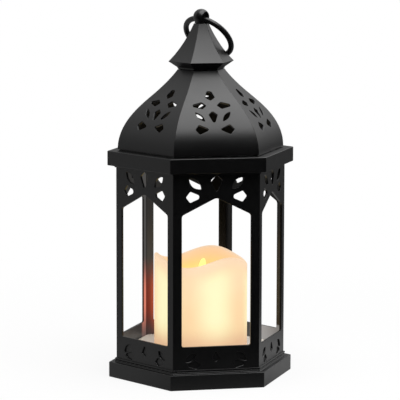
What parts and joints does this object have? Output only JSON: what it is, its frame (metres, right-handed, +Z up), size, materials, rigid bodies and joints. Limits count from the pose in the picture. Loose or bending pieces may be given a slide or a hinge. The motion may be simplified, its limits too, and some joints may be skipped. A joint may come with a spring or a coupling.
{
  "type": "hexagonal lantern with battery candle",
  "caption": "Six-sided pierced lantern with an arched window in each side, an ogee dome roof, a flared cap with a hanging ring, and a battery candle inside.",
  "frame": {"origin": "centre of the bounding box's bottom face, in the plane the plinth stands on", "axes": "+Z up; a flat side faces -Y and another +Y, corners of the hexagon lie on +X and -X"},
  "size_m": [0.13, 0.1126, 0.2518],
  "materials": {
    "black_plastic": "satin black moulded plastic",
    "white_plastic": "satin white moulded plastic",
    "wax_look": "warm ivory, wax-like, translucent",
    "amber_plastic": "translucent amber",
    "black_wire": "satin black paint on steel wire",
    "steel": "zinc-plated steel",
    "board": "green solder mask",
    "cell_jacket": "plain grey-blue jacket on steel"
  },
  "bodies": {
    "lantern": {"base_plinth": "black_plastic", "side_panel_1": "black_plastic", "side_panel_2": "black_plastic", "side_panel_3": "black_plastic", "side_panel_4": "black_plastic", "side_panel_5": "black_plastic", "side_panel_6": "black_plastic", "eave_ring": "black_plastic", "roof_dome": "black_plastic", "finial_cap": "black_plastic", "finial_ball": "black_plastic", "base_cover": "black_plastic", "switch_housing": "black_plastic", "floor_plate": "white_plastic", "candle_tower": "white_plastic", "candle_shell": "wax_look", "flame_tip": "amber_plastic", "lamp_led": "amber_plastic", "finial_screw": "steel", "base_screw_1": "steel", "base_screw_2": "steel", "base_screw_3": "steel", "contact_strip_front": "steel", "contact_strip_rear": "steel", "circuit_board": "board", "battery_1": "cell_jacket", "battery_2": "cell_jacket", "battery_3": "cell_jacket"},
    "ring": {"hanging_ring": "black_wire"},
    "door": {"battery_door": "black_plastic"},
    "switch": {"switch_slider": "white_plastic"}
  },
  "joints": [
    {"name": "ring_swing", "type": "hinge", "parent": "lantern", "child": "ring", "pos_m": [0, 0, 0.2451], "axis": [0.6428, -0.766, 0], "range_deg": [0, 278]},
    {"name": "door_hinge", "type": "hinge", "parent": "lantern", "child": "door", "pos_m": [0, -0.0254, 0.00195], "axis": [-1, 0, 0], "range_deg": [0, 100]},
    {"name": "switch_slide", "type": "slide", "parent": "lantern", "child": "switch", "axis": [0, 1, 0], "range_m": [0, 0.006]}
  ]
}
